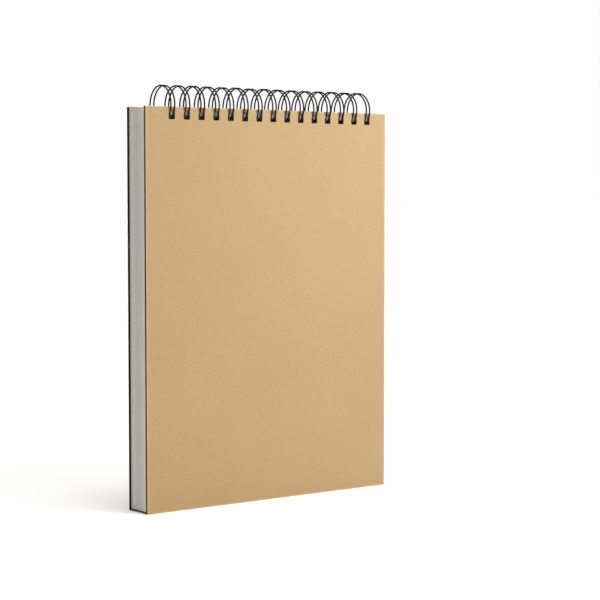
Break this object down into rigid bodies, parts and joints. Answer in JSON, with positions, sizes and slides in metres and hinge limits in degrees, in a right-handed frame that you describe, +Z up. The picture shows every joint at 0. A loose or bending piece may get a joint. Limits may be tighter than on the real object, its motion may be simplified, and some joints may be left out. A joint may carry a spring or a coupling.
{
  "type": "sketchbook",
  "caption": "Top-bound upright sketchbook with kraft-faced board covers, a thick pad of drawing sheets and a black twin-loop wire binding.",
  "frame": {"origin": "middle of the base: the book stands upright on the bottom edges of its covers", "axes": "+X to the reader's right when facing the front cover, +Y from the front cover to the back cover, +Z up towards the wire binding"},
  "size_m": [0.207, 0.0272, 0.2895],
  "materials": {
    "kraft_paper": "matte",
    "dark_board": "matte",
    "sketch_paper": "matte",
    "black_wire": "gloss"
  },
  "bodies": {
    "base": {"wire_binding": "black_wire", "back_cover_outer_paper": "kraft_paper", "back_cover_board": "dark_board", "back_cover_inner_paper": "kraft_paper"},
    "page_block": {"page_block": "sketch_paper"},
    "front_cover": {"front_cover_outer_paper": "kraft_paper", "front_cover_board": "dark_board", "front_cover_inner_paper": "kraft_paper"},
    "leaf_01": {"leaf_01": "sketch_paper"},
    "leaf_02": {"leaf_02": "sketch_paper"},
    "leaf_03": {"leaf_03": "sketch_paper"},
    "leaf_04": {"leaf_04": "sketch_paper"},
    "leaf_05": {"leaf_05": "sketch_paper"},
    "leaf_06": {"leaf_06": "sketch_paper"},
    "leaf_07": {"leaf_07": "sketch_paper"},
    "leaf_08": {"leaf_08": "sketch_paper"},
    "leaf_09": {"leaf_09": "sketch_paper"},
    "leaf_10": {"leaf_10": "sketch_paper"},
    "leaf_11": {"leaf_11": "sketch_paper"},
    "leaf_12": {"leaf_12": "sketch_paper"},
    "leaf_13": {"leaf_13": "sketch_paper"},
    "leaf_14": {"leaf_14": "sketch_paper"},
    "leaf_15": {"leaf_15": "sketch_paper"},
    "leaf_16": {"leaf_16": "sketch_paper"}
  },
  "joints": [
    {"name": "front_cover_turn", "type": "hinge", "parent": "base", "child": "front_cover", "pos_m": [0, 0, 0.27595], "axis": [-1, 0, 0], "range_deg": [0, 180]},
    {"name": "leaf_01_turn", "type": "hinge", "parent": "base", "child": "leaf_01", "pos_m": [0, 0, 0.27595], "axis": [-1, 0, 0], "range_deg": [0, 180]},
    {"name": "leaf_02_turn", "type": "hinge", "parent": "base", "child": "leaf_02", "pos_m": [0, 0, 0.27595], "axis": [-1, 0, 0], "range_deg": [0, 180]},
    {"name": "leaf_03_turn", "type": "hinge", "parent": "base", "child": "leaf_03", "pos_m": [0, 0, 0.27595], "axis": [-1, 0, 0], "range_deg": [0, 180]},
    {"name": "leaf_04_turn", "type": "hinge", "parent": "base", "child": "leaf_04", "pos_m": [0, 0, 0.27595], "axis": [-1, 0, 0], "range_deg": [0, 180]},
    {"name": "leaf_05_turn", "type": "hinge", "parent": "base", "child": "leaf_05", "pos_m": [0, 0, 0.27595], "axis": [-1, 0, 0], "range_deg": [0, 180]},
    {"name": "leaf_06_turn", "type": "hinge", "parent": "base", "child": "leaf_06", "pos_m": [0, 0, 0.27595], "axis": [-1, 0, 0], "range_deg": [0, 180]},
    {"name": "leaf_07_turn", "type": "hinge", "parent": "base", "child": "leaf_07", "pos_m": [0, 0, 0.27595], "axis": [-1, 0, 0], "range_deg": [0, 180]},
    {"name": "leaf_08_turn", "type": "hinge", "parent": "base", "child": "leaf_08", "pos_m": [0, 0, 0.27595], "axis": [-1, 0, 0], "range_deg": [0, 180]},
    {"name": "leaf_09_turn", "type": "hinge", "parent": "base", "child": "leaf_09", "pos_m": [0, 0, 0.27595], "axis": [-1, 0, 0], "range_deg": [0, 180]},
    {"name": "leaf_10_turn", "type": "hinge", "parent": "base", "child": "leaf_10", "pos_m": [0, 0, 0.27595], "axis": [-1, 0, 0], "range_deg": [0, 180]},
    {"name": "leaf_11_turn", "type": "hinge", "parent": "base", "child": "leaf_11", "pos_m": [0, 0, 0.27595], "axis": [-1, 0, 0], "range_deg": [0, 180]},
    {"name": "leaf_12_turn", "type": "hinge", "parent": "base", "child": "leaf_12", "pos_m": [0, 0, 0.27595], "axis": [-1, 0, 0], "range_deg": [0, 180]},
    {"name": "leaf_13_turn", "type": "hinge", "parent": "base", "child": "leaf_13", "pos_m": [0, 0, 0.27595], "axis": [-1, 0, 0], "range_deg": [0, 180]},
    {"name": "leaf_14_turn", "type": "hinge", "parent": "base", "child": "leaf_14", "pos_m": [0, 0, 0.27595], "axis": [-1, 0, 0], "range_deg": [0, 180]},
    {"name": "leaf_15_turn", "type": "hinge", "parent": "base", "child": "leaf_15", "pos_m": [0, 0, 0.27595], "axis": [-1, 0, 0], "range_deg": [0, 180]},
    {"name": "leaf_16_turn", "type": "hinge", "parent": "base", "child": "leaf_16", "pos_m": [0, 0, 0.27595], "axis": [-1, 0, 0], "range_deg": [0, 180]},
    {"name": "page_block_turn", "type": "hinge", "parent": "base", "child": "page_block", "pos_m": [0, 0, 0.27595], "axis": [-1, 0, 0], "range_deg": [0, 180]}
  ],
  "couplings": [
    {"joint": "leaf_01_turn", "follows": "front_cover_turn", "ratio": 0.95},
    {"joint": "leaf_02_turn", "follows": "front_cover_turn", "ratio": 0.9},
    {"joint": "leaf_03_turn", "follows": "front_cover_turn", "ratio": 0.85},
    {"joint": "leaf_04_turn", "follows": "front_cover_turn", "ratio": 0.8},
    {"joint": "leaf_05_turn", "follows": "front_cover_turn", "ratio": 0.75},
    {"joint": "leaf_06_turn", "follows": "front_cover_turn", "ratio": 0.7},
    {"joint": "leaf_07_turn", "follows": "front_cover_turn", "ratio": 0.65},
    {"joint": "leaf_08_turn", "follows": "front_cover_turn", "ratio": 0.6},
    {"joint": "leaf_09_turn", "follows": "front_cover_turn", "ratio": 0.55},
    {"joint": "leaf_10_turn", "follows": "front_cover_turn", "ratio": 0.5},
    {"joint": "leaf_11_turn", "follows": "front_cover_turn", "ratio": 0.45},
    {"joint": "leaf_12_turn", "follows": "front_cover_turn", "ratio": 0.4},
    {"joint": "leaf_13_turn", "follows": "front_cover_turn", "ratio": 0.35},
    {"joint": "leaf_14_turn", "follows": "front_cover_turn", "ratio": 0.3},
    {"joint": "leaf_15_turn", "follows": "front_cover_turn", "ratio": 0.25},
    {"joint": "leaf_16_turn", "follows": "front_cover_turn", "ratio": 0.2},
    {"joint": "page_block_turn", "follows": "front_cover_turn", "ratio": 0.1}
  ]
}
